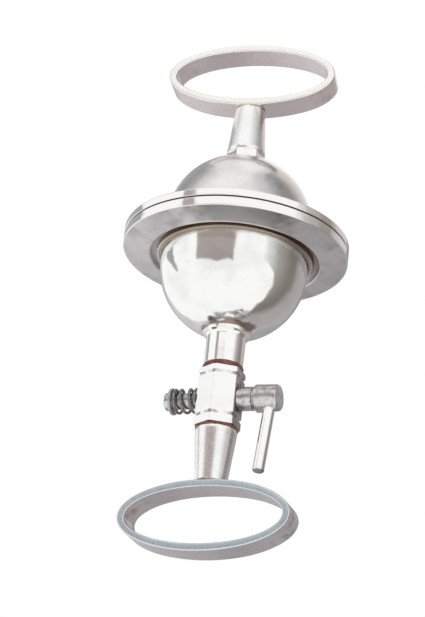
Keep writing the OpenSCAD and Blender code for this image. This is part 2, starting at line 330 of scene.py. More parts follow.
class Graph:
    """Short calls for the nodes of one material."""

    def __init__(self, name):
        self.material = bpy.data.materials.new(name)
        self.material.use_nodes = True
        self.nodes = self.material.node_tree.nodes
        self.links = self.material.node_tree.links
        self.shader = self.nodes["Principled BSDF"]
        self.place = self.nodes.new("ShaderNodeTexCoord").outputs["Object"]

    def put(self, socket, value):
        """Links an output to the socket, or writes a plain value into it."""
        if isinstance(value, bpy.types.NodeSocket):
            self.links.new(value, socket)
        else:
            socket.default_value = value

    def noise(self, size_mm, detail=4.0, rough=0.55, stretch=(1, 1, 1)):
        """Smooth noise between 0 and 1 in object space, with waves of the given size."""
        scaled = self.nodes.new("ShaderNodeMapping")
        self.links.new(self.place, scaled.inputs["Vector"])
        scaled.inputs["Scale"].default_value = [s / (size_mm * MM) for s in stretch]
        node = self.nodes.new("ShaderNodeTexNoise")
        self.links.new(scaled.outputs["Vector"], node.inputs["Vector"])
        node.inputs["Scale"].default_value = 1.0
        node.inputs["Detail"].default_value = detail
        node.inputs["Roughness"].default_value = rough
        return node.outputs["Fac"]

    def ramp(self, value, low, high, out_low=0.0, out_high=1.0):
        """A smooth step from out_low at low to out_high at high."""
        node = self.nodes.new("ShaderNodeMapRange")
        node.interpolation_type = "SMOOTHSTEP"
        self.put(node.inputs["Value"], value)
        self.put(node.inputs["From Min"], low)
        self.put(node.inputs["From Max"], high)
        self.put(node.inputs["To Min"], out_low)
        self.put(node.inputs["To Max"], out_high)
        return node.outputs["Result"]

    def ragged(self, size_mm, swing, detail=4.0):
        """Noise that swings by the given amount to both sides of 0."""
        return self.ramp(self.noise(size_mm, detail), 0.3, 0.7, -swing, swing)

    def math(self, kind, a, b=0.0):
        node = self.nodes.new("ShaderNodeMath")
        node.operation = kind
        self.put(node.inputs[0], a)
        self.put(node.inputs[1], b)
        return node.outputs[0]

    def times(self, first, *others):
        for other in others:
            first = self.math("MULTIPLY", first, other)
        return first

    def mix(self, share, a, b):
        """The colour a with the given share of the colour b."""
        node = self.nodes.new("ShaderNodeMix")
        node.data_type = "RGBA"
        self.put(node.inputs[0], share)
        self.put(node.inputs[6], a)
        self.put(node.inputs[7], b)
        return node.outputs[2]

    def toward(self, direction):
        """Distance along a level direction in metres."""
        x, y = direction
        return self.math("ADD", self.times(self.axis("X"), x), self.times(self.axis("Y"), y))

    def distance(self, a, b):
        """Length of the way with the legs a and b in metres, given in millimetres."""
        squares = self.math("ADD", self.math("POWER", a, 2.0), self.math("POWER", b, 2.0))
        return self.math("DIVIDE", self.math("SQRT", squares), MM)

    def radius(self):
        """Distance from the main axis in millimetres."""
        return self.distance(self.axis("X"), self.axis("Y"))

    def sidedness(self, direction):
        """1 on the side that a level direction points to, and -1 on the far side."""
        return self.math("DIVIDE", self.math("DIVIDE", self.toward(direction), MM), self.radius())

    def band(self, value, low, high, soft):
        """1 between low and high, and 0 beyond soft outside them."""
        up = self.ramp(value, low - soft, low)
        down = self.ramp(value, high, high + soft, 1.0, 0.0)
        return self.times(up, down)

    def axis(self, letter):
        """Object coordinate X, Y or Z in metres."""
        node = self.nodes.new("ShaderNodeSeparateXYZ")
        self.links.new(self.place, node.inputs[0])
        return node.outputs["XYZ".index(letter)]

    def bump(self, height, depth_mm):
        node = self.nodes.new("ShaderNodeBump")
        node.inputs["Distance"].default_value = depth_mm * MM
        self.put(node.inputs["Height"], height)
        self.put(self.shader.inputs["Normal"], node.outputs["Normal"])


def colour(r, g, b):
    return (r, g, b, 1.0)


TARNISH = colour(0.30, 0.22, 0.16)

# Level directions in object space, which say on what side a mark lies
FRONT = (0.375, -0.927)
FRONT_LEFT = (0.105, -0.994)
FRONT_RIGHT = (0.67, -0.743)
RIGHT = (0.967, -0.256)


def plated(name, base, cloud, roughness, cloud_mm=22.0, stain=0.25, stain_mm=9.0, dents_mm=0.8,
           marks=None, turned_grain=0.0):
    """Worn plating: soft clouds of a second tint, small spots in the TARNISH colour, fine grain and shallow
    dents.

    marks is a function that adds what only one piece has, such as dirt in a groove."""
    g = Graph(name)
    clouds = g.ramp(g.noise(cloud_mm, 3.0), 0.42, 0.68)
    tone = g.mix(clouds, base, cloud)
    spots = g.ramp(g.noise(stain_mm, 6.0, 0.65), 0.60, 0.74, 0.0, stain)
    tone = g.mix(spots, tone, TARNISH)
    pits = g.ramp(g.noise(0.9, 2.0), 0.66, 0.74, 0.0, 0.22)
    tone = g.mix(pits, tone, TARNISH)
    fine = g.noise(1.6, 4.0, 0.7)
    rough = g.ramp(fine, 0.3, 0.75, roughness * 0.75, roughness * 1.3)
    if marks is not None:
        tone, rough = marks(g, tone, rough)
    g.put(g.shader.inputs["Base Color"], tone)
    g.put(g.shader.inputs["Roughness"], rough)
    g.shader.inputs["Metallic"].default_value = 1.0
    g.shader.inputs["Anisotropic"].default_value = turned_grain
    waves = g.noise(14.0, 2.0)
    grain = g.times(g.noise(0.5, 2.0), 0.025)
    g.bump(g.math("ADD", waves, grain), dents_mm)
    return g.material


def blackened(name, base, shine, roughness):
    """Dark steel with brown rust in its hollows."""
    g = Graph(name)
    rust = g.ramp(g.noise(2.2, 5.0, 0.7), 0.50, 0.66, 0.0, 0.75)
    tone = g.mix(rust, base, colour(0.30, 0.18, 0.11))
    worn = g.ramp(g.noise(1.1, 3.0), 0.56, 0.66, 0.0, 0.8)
    g.put(g.shader.inputs["Base Color"], g.mix(worn, tone, shine))
    g.shader.inputs["Metallic"].default_value = 0.9
    g.put(g.shader.inputs["Roughness"], g.ramp(g.noise(1.5, 3.0), 0.3, 0.7, roughness, roughness + 0.2))
    g.bump(g.noise(0.7, 3.0), 0.12)
    return g.material


def fibrous(name, base, dark):
    """Pressed fibre, red-brown and ragged."""
    g = Graph(name)
    strands = g.noise(0.7, 5.0, 0.7, stretch=(1, 1, 4))
    soaked = g.ramp(g.noise(5.0, 4.0), 0.42, 0.62, 0.0, 0.75)
    tone = g.mix(g.ramp(strands, 0.35, 0.65), dark, base)
    g.put(g.shader.inputs["Base Color"], g.mix(soaked, tone, dark))
    g.shader.inputs["Roughness"].default_value = 0.85
    g.bump(strands, 0.35)
    return g.material


def rubbery(name, base, worn):
    """Dull black rubber with a paler bloom."""
    g = Graph(name)
    bloom = g.ramp(g.noise(1.2, 3.0), 0.3, 0.7)
    g.put(g.shader.inputs["Base Color"], g.mix(bloom, base, worn))
    g.shader.inputs["Roughness"].default_value = 0.7
    g.bump(g.noise(0.6, 2.0), 0.05)
    return g.material


def flange_marks_and_shade(g, tone, rough):
    """A flange's marks: brazing at its root, grey blotches, a lighter shiny rim, and painted shade: a greyer
    back on the side facing FRONT, a darker near side inside the lip and a darker groove towards RIGHT.
    """
    r = g.radius()
    uneven_r = g.math("ADD", r, g.ragged(3.0, 0.25))
    blotches = g.ramp(g.noise(17.0, 5.0, 0.6), 0.50, 0.70, 0.0, 0.45)
    tone = g.mix(blotches, tone, colour(0.38, 0.38, 0.41))
    # Painted reflection: the flange's back is greyer on the side facing FRONT, standing in for a dark
    # reflection there.
    side = g.math("ADD", g.sidedness(FRONT), g.ragged(14.0, 0.04, 3.0))
    front_reflection_shade = g.ramp(side, 0.82, 0.97)
    clear_of_lip = g.ramp(r, LIP_R + 0.3, LIP_R + 2.5)
    tone = g.mix(g.times(front_reflection_shade, clear_of_lip, 0.9), tone, colour(0.33, 0.315, 0.32))
    # Painted shade: inside the lip, the groove and land are darker brown on the near side facing FRONT.
    inside = g.ramp(uneven_r, LIP_R - 0.2, LIP_R + 0.3, 1.0, 0.0)
    near_side_shade = g.ramp(g.sidedness(FRONT), -0.3, 0.7, 0.0, 0.92)
    tone = g.mix(g.times(inside, near_side_shade), tone, colour(0.33, 0.27, 0.20))
    # Painted shade in the groove: faint all round and strongest on the side facing RIGHT.
    groove = g.band(uneven_r, GROOVE_R - 0.1, LIP_R - 0.2, 0.5)
    right_side_shade = g.ramp(g.sidedness(RIGHT), 0.3, 1.0, 0.15, 0.9)
    tone = g.mix(g.times(groove, right_side_shade), tone, colour(0.36, 0.28, 0.23))
    root = g.ramp(uneven_r, BOWL_R + 0.7, BOWL_R + 1.6, 0.85, 0.0)
    tone = g.mix(root, tone, colour(0.36, 0.27, 0.19))
    rim = g.ramp(r, FLANGE_R - 0.9, FLANGE_R - 0.3)
    tone = g.mix(rim, tone, colour(0.93, 0.92, 0.90))
    return tone, g.times(rough, g.ramp(rim, 0.0, 1.0, 1.0, 0.28))


def bowl_marks(g, tone, rough):
    """Brown heat marks of the brazing round the neck, and a paler one beside the flange."""
    height = g.axis("Z")
    below = g.ramp(height, -0.045, -0.040, 1.0, 0.0)
    narrowed = g.ramp(g.sidedness(FRONT_RIGHT), 0.35, 0.95, 2.9, 0.0)
    reach = g.math("ADD", g.math("ADD", g.radius(), g.ragged(8.0, 1.9, 2.5)), narrowed)
    near = g.times(g.ramp(reach, 14.6, 17.4, 0.85, 0.0), below)
    tone = g.mix(near, tone, colour(0.27, 0.18, 0.15))
    edge = g.math("ADD", height, g.ragged(6.0, 0.0006))
    flux = g.ramp(edge, -0.0102, -0.0082, 0.0, 0.55)
    tone = g.mix(flux, tone, colour(0.44, 0.35, 0.28))
    scorched_side = g.ramp(g.sidedness(FRONT_LEFT), 0.955, 0.975)
    scorch = g.times(scorched_side, g.ramp(edge, -0.0145, -0.0125, 0.0, 0.5))
    tone = g.mix(scorch, tone, colour(0.70, 0.62, 0.58))
    haze = g.ramp(edge, -0.0110, -0.0085, 0.0, 0.30)
    return tone, g.math("ADD", rough, g.math("MAXIMUM", g.times(near, 0.25), haze))


def hexagon_marks(g, tone, rough):
    """Dirt in the grooves of the hexagon's corners, painted shade on the face round the boss, and a painted
    shadow of the boss around its root.
    """
    height = g.axis("Z")
    low, high = (g.band(height, (z - 0.9) * MM, (z + 0.4) * MM, 0.0004)
                 for z in (TOP_GROOVE_Z, BOTTOM_GROOVE_Z))
    patchy = g.ramp(g.noise(3.5, 3.0), 0.40, 0.65, 0.05, 0.8)
    cut = g.ramp(g.radius(), BODY_FLATS / 2 + 0.02, BODY_FLATS / 2 + 0.1, 0.25, 1.0)
    dirt = g.times(g.math("MAXIMUM", low, high), patchy, cut)
    tone = g.mix(dirt, tone, colour(0.36, 0.29, 0.24))
    # Painted shade: the hexagon's face round the boss, on the X side, is dark grey in patches.
    boss_side = g.ramp(g.axis("X"), 0.0104, 0.0108)
    boss_face_shade = g.times(boss_side, g.ramp(g.noise(5.0, 4.0), 0.30, 0.60, 0.60, 0.90))
    tone = g.mix(boss_face_shade, tone, colour(0.22, 0.21, 0.21))
    # Painted shadow of the boss: darker brown within about 7 to 10 mm of the plug's axis on that face.
    off_plug = g.distance(g.math("SUBTRACT", height, PLUG_Z * MM), g.axis("Y"))
    ring = g.math("ADD", off_plug, g.ragged(3.0, 1.2))
    boss_shadow = g.times(g.ramp(ring, 6.8, 9.8, 0.9, 0.0), boss_side)
    tone = g.mix(boss_shadow, tone, colour(0.24, 0.19, 0.17))
    return tone, g.math("ADD", rough, g.times(g.math("MAXIMUM", dirt, boss_shadow), 0.3))


def strip_marks(turn, face_reflection_tint, side_reflection_tint, rust):
    """Marks of a handle strip: narrow faces and wide sides differ in tint as painted reflection, and the
    ends are rusty.
    """
    def marks(g, tone, rough):
        off = g.math("ABSOLUTE", g.toward((-math.sin(turn), math.cos(turn))))
        face = g.ramp(off, (STRIP_W / 2 - 0.7) * MM, (STRIP_W / 2 - 0.3) * MM)
        patches = g.ramp(g.noise(6.0, 5.0, 0.65), 0.50, 0.68, 0.0, 0.6)
        end = g.ramp(g.math("ABSOLUTE", g.axis("X")), 0.030, 0.044, 0.15, 1.0)
        side = g.mix(g.times(patches, end, rust), side_reflection_tint, colour(0.24, 0.15, 0.11))
        wear = g.ramp(g.noise(11.0, 4.0), 0.35, 0.65, 0.82, 1.0)
        # Painted reflection: the narrow faces and wide sides get different tints.
        tint = g.mix(face, side, face_reflection_tint)
        return g.mix(g.times(wear, 0.9), tone, tint), g.math("ADD", rough, g.times(face, 0.06))
    return marks


def tip_dirt(g, tone, rough):
    """The lever rod's end is darker."""
    tip = PLUG_Z - ROD_REACH
    end = g.ramp(g.axis("Z"), (tip + 0.6) * MM, (tip + 1.4) * MM, 0.75, 0.0)
    return g.mix(end, tone, colour(0.16, 0.13, 0.12)), rough


SATIN = plated("satin_nickel", colour(0.84, 0.83, 0.81), colour(0.74, 0.72, 0.71), 0.22, dents_mm=0.48)
FLANGE = plated("flange_nickel", colour(0.84, 0.83, 0.82), colour(0.74, 0.72, 0.73), 0.36,
                dents_mm=0.48, marks=flange_marks_and_shade)
POLISHED = plated("polished_nickel", colour(0.95, 0.95, 0.93), colour(0.90, 0.895, 0.875), 0.10,
                  stain=0.10, dents_mm=0.1)
LOWER_BOWL = plated("lower_bowl_nickel", colour(0.94, 0.94, 0.91), colour(0.84, 0.84, 0.83), 0.09,
                    cloud_mm=17.0, stain=0.12, dents_mm=0.24, marks=bowl_marks)
HEXAGON = plated("hexagon_nickel", colour(0.94, 0.94, 0.93), colour(0.88, 0.88, 0.87), 0.14,
                 stain=0.12, dents_mm=0.24, marks=hexagon_marks)
TURNED = plated("turned_nickel", colour(0.95, 0.95, 0.935), colour(0.91, 0.905, 0.89), 0.25,
                stain=0.12, dents_mm=0.16, turned_grain=0.5)
# In strip_marks, the two colours are painted reflection tints of the strip's narrow faces and of its wide
# sides.
UPPER_STRIP = plated(
    "upper_strip_nickel", colour(0.90, 0.88, 0.85), colour(0.84, 0.81, 0.79), 0.24, dents_mm=0.4,
    marks=strip_marks(UPPER_TURN, colour(0.97, 0.95, 0.90), colour(0.93, 0.86, 0.84), 0.6))
LOWER_STRIP = plated(
    "lower_strip_nickel", colour(0.74, 0.76, 0.78), colour(0.66, 0.66, 0.68), 0.26, dents_mm=0.4,
    marks=strip_marks(0.0, colour(0.62, 0.73, 0.78), colour(0.80, 0.765, 0.755), 1.0))
DULL = plated("dull_nickel", colour(0.68, 0.68, 0.68), colour(0.44, 0.42, 0.40), 0.28,
              cloud_mm=3.2, stain=0.45, stain_mm=2.2, dents_mm=0.48)
BRIGHT = plated("bright_steel", colour(0.96, 0.96, 0.94), colour(0.90, 0.89, 0.87), 0.13,
                stain=0.10, stain_mm=4.0, dents_mm=0.12, marks=tip_dirt, turned_grain=0.4)
SCREW = plated("screw_steel", colour(0.66, 0.69, 0.74), colour(0.42, 0.42, 0.43), 0.26,
               cloud_mm=2.6, stain=0.45, stain_mm=2.0, dents_mm=0.24)
WASHER = blackened("washer_steel", colour(0.46, 0.45, 0.44), colour(0.75, 0.72, 0.69), 0.30)
DARK = blackened("dark_steel", colour(0.24, 0.235, 0.24), colour(0.62, 0.60, 0.58), 0.30)
BRAZE = plated("brazing", colour(0.62, 0.50, 0.38), colour(0.34, 0.24, 0.16), 0.42,
               cloud_mm=3.0, stain=0.6, stain_mm=2.5, dents_mm=0.8)
FIBRE = fibrous("red_fibre", colour(0.33, 0.115, 0.08), colour(0.10, 0.035, 0.028))
RUBBER = rubbery("seal_rubber", colour(0.012, 0.011, 0.010), colour(0.035, 0.03, 0.028))


# Pieces

def flange(name, rim, up, z0, body, material):
    """A flange from its sealing face to its back, with the groove beside the bowl."""
    back = rim + FLANGE_RISE
    floor_h = back - GROOVE_DEPTH
    root = BOWL_R + 0.02
    land_r = LAND_W / 2
    crown = back + LAND_CROWN - land_r
    outline = [
        (root, 0, 0),
        (FLANGE_R, 0, 0.4),
        (FLANGE_R, rim, 0.5),
        (LIP_R, back, 0.8),
        (LIP_R, floor_h, 0.4),
        (GROOVE_R, floor_h, 0.4),
    ]
    outline += arc(BOWL_R + land_r, crown, land_r, 0, 150, 14)
    outline += [(root, crown, 0)]
    outline = [(r, z0 + up * h, rounding) for r, h, rounding in outline]
    turned(name + "_skin", outline, True, body, [name], material)


def bowl(name, up, z0, hole_r, body, material, lean=0.0):
    """A bowl as a shell with a wall and a dome, with a round hole at the dome's top.

    lean is the angle at which the brazing fillet widens the wall towards its flange."""
    inner = BOWL_R - BOWL_WALL
    top = math.degrees(math.acos(hole_r / BOWL_R))
    inner_top = math.degrees(math.acos(hole_r / inner))
    outline = [(BOWL_R, 0, 0)]
    if lean:
        drop = BOWL_STRAIGHT + BOWL_R * math.sin(lean) - FILLET_H
        widest = BOWL_R * math.cos(lean) + drop * math.tan(lean)
        outline += [(BOWL_R, FILLET_H - 1, 0), (widest, FILLET_H, 0)]
    outline += arc(0, BOWL_STRAIGHT, BOWL_R, math.degrees(lean), top, 56)
    outline += arc(0, BOWL_STRAIGHT, inner, inner_top, 0, 48)
    outline += [(inner, 0, 0)]
    outline = [(r, z0 + up * h, rounding) for r, h, rounding in outline]
    turned(name + "_skin", outline, True, body, [name], material)


def strip_section():
    """The strip's section: thickness outwards from the inner face, width, and rounded corners."""
    half_w, steps = STRIP_W / 2, 3
    corners = []
    for outer, high, start in ((1, 1, 0), (0, 1, 90), (0, 0, 180), (1, 0, 270)):
        for k in range(steps + 1):
            a = math.radians(start + 90 * k / steps)
            u = outer * STRIP_T + STRIP_CORNER * (math.cos(a) + (-1 if outer else 1))
            v = (half_w if high else -half_w) + STRIP_CORNER * (math.sin(a) + (-1 if high else 1))
            corners.append((u, v))
    section = []
    for i, (u, v) in enumerate(corners):
        section.append((u, v))
        next_u, next_v = corners[(i + 1) % len(corners)]
        if abs(next_v - v) > STRIP_W / 2:
            section += [(u + (next_u - u) * k / 6, v + (next_v - v) * k / 6) for k in range(1, 6)]
    return section


def handle_loop(name, centre_z, turn, body, material, seed):
    """An oval strip with softened corners and the slight unevenness of bending by hand."""
    section = strip_section()
    around_steps = 288
    verts = []
    for i in range(around_steps):
        t = 2 * math.pi * i / around_steps
        for u, v in section:
            p = Vector(((LOOP_A - STRIP_T + u) * math.cos(t), v, (LOOP_B - STRIP_T + u) * math.sin(t)))
            inward = Vector((-math.cos(t), -v / (STRIP_W / 2), -math.sin(t)))
            wave = 0.5 + 0.5 * noise.noise(p / 16 + Vector((seed, 0, 0)))
            p += inward * STRIP_WEAR * wave
            verts.append((*swung(p.x, p.y, turn), centre_z + p.z))
    faces = ring_faces(around_steps, len(section), closed=True)
    new_piece(name + "_skin", verts, faces, body, [name], material, sharp=60)


def loop_saddle(x, centre_z, side):
    """Height of a loop's outside above or below x on its lengthwise axis."""
    return centre_z + side * LOOP_B * math.sqrt(max(0.0, 1 - (x / LOOP_A) ** 2))


def stem(name, foot_z, foot_r, centre_z, side, turn, body, material):
    """A tapered stem whose far end follows the loop that it carries.

    side is -1 for a stem below its loop, and 1 for one above."""
    levels, segments = 24, 128
    length = loop_saddle(0, centre_z, side) - foot_z
    verts = []
    for level in range(levels + 1):
        share = level / levels
        for k in range(segments):
            a = 2 * math.pi * k / segments
            reach = loop_saddle(STEM_TOP_R * math.cos(a), centre_z, side) - foot_z
            r = foot_r + (STEM_TOP_R - foot_r) * share * reach / length
            if level == 0:
                r -= STEM_CHAMFER
            verts.append((*swung(r * math.cos(a), r * math.sin(a), turn), foot_z + reach * share))
    faces = ring_faces(levels + 1, segments) + end_faces(levels + 1, segments)
    new_piece(name + "_skin", verts, faces, body, [name], material)


def braze(name, centre_z, side, turn, body, seed):
    """A ragged bead of brazing where a stem meets its loop."""
    segments, sides = 160, 10
    inset = 0.25
    widest = STRIP_W / 2 - 0.02
    verts = []
    for k in range(segments):
        a = 2 * math.pi * k / segments
        z = loop_saddle(STEM_TOP_R * math.cos(a), centre_z, side)
        swell = 0.55 + 0.55 * noise.noise(Vector((math.cos(a) * 2 + seed, math.sin(a) * 2, 0)))
        bead = 0.2 + max(0.0, swell) * 0.45
        for j in range(sides):
            b = 2 * math.pi * j / sides
            r = STEM_TOP_R - inset + bead * math.cos(b)
            y = max(-widest, min(widest, r * math.sin(a)))
            verts.append((*swung(r * math.cos(a), y, turn), z + bead * math.sin(b) + side * inset))
    faces = ring_faces(segments, sides, closed=True)
    new_piece(name, verts, faces, body, [], BRAZE, sharp=80)


def corner_radius(flats):
    """Distance from a hexagon's middle to its sharp corners."""
    return flats / 2 / math.cos(math.radians(30))


def hexagon_points(flats, corner, turn, side_points):
    """Points round a hexagon with rounded corners. One corner lies at the angle turn."""
    centre_r = corner_radius(flats - 2 * corner)
    points = []
    for i in range(6):
        a_corner = turn + math.radians(60 * i)
        a_next = a_corner + math.radians(60)
        a_side = a_corner + math.radians(30)
        cx, cy = centre_r * math.cos(a_corner), centre_r * math.sin(a_corner)
        nx, ny = centre_r * math.cos(a_next), centre_r * math.sin(a_next)
        for k in range(5):
            a = a_corner + math.radians(-30 + 15 * k)
            points.append((cx + corner * math.cos(a), cy + corner * math.sin(a)))
        out_x, out_y = corner * math.cos(a_side), corner * math.sin(a_side)
        for k in range(1, side_points):
            share = k / side_points
            points.append((cx + (nx - cx) * share + out_x, cy + (ny - cy) * share + out_y))
    return points


def hexagonal(name, flats, corner, turn, levels, nodes, body, material):
    """A hexagonal bar cut back on a lathe: levels are pairs of a height and the greatest radius."""
    ring = hexagon_points(flats, corner, turn, 18)
    verts = []
    for z, limit in levels:
        for x, y in ring:
            keep = min(1.0, limit / math.hypot(x, y))
            verts.append((x * keep, y * keep, z))
    faces = ring_faces(len(levels), len(ring)) + end_faces(len(levels), len(ring))
    new_piece(name, verts, faces, body, nodes, material, sharp=22)


def stem_collar():
    levels = [(COLLAR_LOW_Z, UNCUT), (STEM_FOOT_Z - STEM_CHAMFER, UNCUT),
              (STEM_FOOT_Z, corner_radius(COLLAR_FLATS) - COLLAR_CHAMFER)]
    hexagonal("stem_collar_skin", COLLAR_FLATS, 0.4, COLLAR_TURN, levels, ["stem_collar"],
              "upper_hemisphere", POLISHED)


def groove_levels(z):
    """Levels of a turned groove just below the height z: sloped flanks and a round bottom."""
    step, bottom_half, slope = 0.2, 0.5, 2.6
    levels = []
    for k in range(-7, 6):
        rise = max(0.0, abs(step * (k + 1)) - bottom_half)
        levels.append((z + step * k, CORNER_GROOVE_R + rise * slope))
    return levels


def stopcock_body():
    """The hexagonal body with its corner grooves, and the spigot below it."""
    edge = 0.35
    end_r = corner_radius(BODY_FLATS) - BODY_CHAMFER
    middle = (BODY_BOTTOM_Z + BODY_TOP_Z) / 2
    levels = [(BODY_BOTTOM_Z, end_r), (BODY_BOTTOM_Z + edge, UNCUT)]
    levels += groove_levels(BOTTOM_GROOVE_Z)
    levels += [(middle + offset, UNCUT) for offset in (-6, 0, 6)]
    levels += groove_levels(TOP_GROOVE_Z)
    levels += [(BODY_TOP_Z - edge, UNCUT), (BODY_TOP_Z, end_r)]
    hexagonal("stopcock_hexagon", BODY_FLATS, BODY_CORNER, math.radians(30), levels, ["stopcock_body"],
              "lower_hemisphere", HEXAGON)
    spigot = threaded(SPIGOT_R, BODY_BOTTOM_Z + SPIGOT_INSET, BODY_BOTTOM_Z - SPIGOT_LENGTH)
    turned("stopcock_spigot", spigot, False, "lower_hemisphere", [], POLISHED)


def threaded(r, top_z, end_z):
    """Outline of a spigot with a thread's ridges, which show once the handle is off."""
    root = r - THREAD_DEPTH
    outline = [(0, top_z, 0), (root, top_z, 0)]
    z = top_z - 1.6
    while z > end_z + 1.2:
        outline += [(root, z, 0), (r, z - THREAD_PITCH * 0.4, 0), (r, z - THREAD_PITCH * 0.6, 0)]
        z -= THREAD_PITCH
    outline += [(root, z, 0), (root, end_z + 0.3, 0), (root - 0.3, end_z, 0), (0, end_z, 0)]
    return outline


def neck():
    """The turned neck: a ring at its top, a slim waist, a socket from below and a passage."""
    ring_top_z = NECK_RING_Z + NECK_RING_H
    outline = [
        (NECK_PASSAGE_R, NECK_TOP_Z, 0),
        (NECK_INSERT_R, NECK_TOP_Z, 0),
        (NECK_INSERT_R, ring_top_z, 0),
        (NECK_RING_R, ring_top_z, 0),
        (NECK_RING_R, NECK_RING_Z, 0.45),
        (NECK_TOP_R + 0.1, NECK_RING_Z - 0.7, 0.4),
        (NECK_WAIST_R, NECK_RING_Z - 1.9, 1.2),
        (NECK_BOTTOM_R, NECK_LOW_Z, 0.35),
        (SOCKET_R, NECK_LOW_Z, 0),
        (SOCKET_R, NECK_LOW_Z + SOCKET_DEPTH, 0),
        (NECK_PASSAGE_R, NECK_LOW_Z + SOCKET_DEPTH, 0),
    ]
    turned("neck_skin", outline, True, "lower_hemisphere", ["neck"], POLISHED)


def washer(node, outer, bore, low, high, body, material, ragged=0.0, place=to_z, shift=None):
    """A flat washer. ragged is how far its outer edge is frayed."""
    edge = 0.3 * (high - low)
    outline = [(bore, low, 0), (outer, low, edge), (outer, high, edge), (bore, high, 0)]

    def fray(point):
        x, y, z = point
        if math.hypot(x, y) <= bore + 1:
            return point
        wave = noise.noise(Vector(point) / 2.2) + 0.5 * noise.noise(Vector(point) / 0.8)
        keep = 1 - ragged * (0.5 + 0.5 * wave) / outer
        return (x * keep, y * keep, z)

    turned(node + "_skin", outline, True, body, [node], material, place,
           fray if ragged else shift)


def plug():
    """The tapered plug with its boss, the lever's head and the stub for the spring."""
    seat = BODY_FLATS / 2
    outline = [
        (0, -STUB_END, 0),
        (STUB_R, -STUB_END, 0.4),
        (STUB_R, -seat, 0),
        (TAPER_SMALL_R, -seat, 0),
        (TAPER_LARGE_R, seat, 0),
        (TAPER_LARGE_R, BOSS_START, 0),
        (BOSS_R, BOSS_START, 0.3),
        (BOSS_R, BOSS_END, 0.5),
        (BOSS_NECK_R, BOSS_END, 0.3),
        (BOSS_NECK_R, HEAD_START, 0.3),
        (HEAD_START_R, HEAD_START, 1.0),
        (HEAD_END_R, HEAD_END, 1.1),
        (0, HEAD_END, 0),
    ]

    def worn(point):
        return tilted(uneven(point, 5.0, 0.10))

    turned("plug_skin", outline, False, "stopcock_plug", ["plug"], DULL, to_plug, worn)


def lever_rod():
    """The rod that hangs from the head and leans a little."""
    def hang(r, h, a):
        x, z = swung(r * math.cos(a), -h, -ROD_LEAN)
        return tilted((ROD_X + x, r * math.sin(a), PLUG_Z + z))

    outline = [(0, ROD_SUNK, 0), (ROD_R, ROD_SUNK, 0), (ROD_R, ROD_REACH, 0.9), (0, ROD_REACH, 0)]
    turned("lever_rod_skin", outline, False, "stopcock_plug", ["lever_rod"], BRIGHT,
           hang, segments=96)


def spring_centre(share):
    """The wire's middle at a share of its way. The spring is closed up at both ends."""
    start = BODY_FLATS / 2 + 0.3 + WIRE_R
    end = STUB_END - SPRING_WASHER_T - 0.04 - WIRE_R
    turn = 2 * math.pi * share
    x = start + (end - start) * (share - CLOSED_UP * math.sin(turn) / (2 * math.pi))
    a = SPRING_PHASE + turn * CURLS
    return Vector((-x, SPRING_R * math.cos(a), -SPRING_R * math.sin(a)))


def plug_spring():
    """The spring's wire, swept round the plug's stub."""
    steps, sides = int(40 * CURLS), 12
    verts = []
    for i in range(steps + 1):
        here = spring_centre(i / steps)
        along = (spring_centre(i / steps + 0.001) - here).normalized()
        outward = Vector((0, here.y, here.z)).normalized()
        side = along.cross(outward).normalized()
        out = side.cross(along)
        for k in range(sides):
            a = 2 * math.pi * k / sides
            p = here + (out * math.cos(a) + side * math.sin(a)) * WIRE_R
            verts.append(tilted((p.x, p.y, PLUG_Z + p.z)))
    faces = ring_faces(steps + 1, sides) + end_faces(steps + 1, sides)
    new_piece("plug_spring_skin", verts, faces, "stopcock_plug", ["plug_spring"], DARK)


def plug_screw():
    """The screw at the stub's end: its slot is cut from a turned head."""
    face = -STUB_END - SCREW_HEAD_H
    tip = -STUB_END + SCREW_LENGTH
    outline = [(0, face, 0), (SCREW_HEAD_R, face, 0.8), (SCREW_HEAD_R, -STUB_END, 0),
               (SCREW_R, -STUB_END, 0), (SCREW_R, tip, 0), (0, tip, 0)]
    piece = turned("plug_screw_skin", outline, False, "stopcock_plug", ["plug_screw"],
                   SCREW, to_plug, tilted, 96)
    bpy.ops.mesh.primitive_cube_add(size=1)
    cutter = bpy.context.object
    cutter.scale = (2 * SLOT_DEPTH * MM, 12 * MM, SLOT_W * MM)
    cutter.location = (face * MM, 0, PLUG_Z * MM)
    cutter.rotation_euler = (-PLUG_TURN, 0, 0)
    cut = piece.modifiers.new("slot", "BOOLEAN")
    cut.operation = "DIFFERENCE"
    cut.object = cutter
    bpy.context.view_layer.objects.active = piece
    piece.modifiers.move(piece.modifiers.find("slot"), 0)
    bpy.ops.object.modifier_apply(modifier="slot")
    bpy.data.objects.remove(cutter)


bowl("upper_bowl", 1, SEAL_T, UPPER_HOLE_R, "upper_hemisphere", SATIN)
bowl("lower_bowl", -1, 0.0, LOWER_HOLE_R, "lower_hemisphere", LOWER_BOWL,
     lean=FILLET_LEAN)
flange("upper_flange", UPPER_RIM, 1, SEAL_T, "upper_hemisphere", FLANGE)
flange("lower_flange", LOWER_RIM, -1, 0.0, "lower_hemisphere", FLANGE)
washer("seal_ring", FLANGE_R - SEAL_INSET, FLANGE_R - SEAL_INSET - SEAL_W, 0, SEAL_T, "seal",
       RUBBER)
handle_loop("upper_handle_loop", UPPER_LOOP_Z, UPPER_TURN, "upper_hemisphere",
            UPPER_STRIP, seed=3.0)
handle_loop("lower_handle_loop", LOWER_LOOP_Z, 0.0, "lower_handle",
            LOWER_STRIP, seed=8.0)
stem("upper_stem", STEM_FOOT_Z, STEM_FOOT_R, UPPER_LOOP_Z, -1, UPPER_TURN, "upper_hemisphere",
     TURNED)
stem("lower_stem", CONE_TOP_Z, CONE_TOP_R, LOWER_LOOP_Z, 1, 0.0, "lower_handle",
     TURNED)
braze("upper_brazing", UPPER_LOOP_Z, -1, UPPER_TURN, "upper_hemisphere", seed=1.0)
